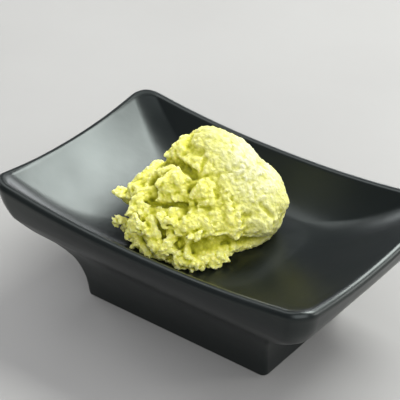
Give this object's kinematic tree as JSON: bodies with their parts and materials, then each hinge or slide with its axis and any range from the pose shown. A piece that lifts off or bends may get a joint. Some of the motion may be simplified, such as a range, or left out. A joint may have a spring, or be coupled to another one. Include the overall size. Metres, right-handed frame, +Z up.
{
  "type": "grated wasabi on footed dish",
  "caption": "Heap of freshly grated wasabi in a small rectangular footed dish with turned-up corners and a dark satin glaze.",
  "frame": {"origin": "middle of the foot's base, on the surface that the dish stands on", "axes": "+X along the dish's length, +Y across it, +Z up"},
  "size_m": [0.09, 0.058, 0.0456],
  "materials": {
    "black_glaze": "satin",
    "grated_wasabi": "matte"
  },
  "bodies": {
    "root": {"dish": "black_glaze", "wasabi_mound": "grated_wasabi"}
  },
  "joints": []
}
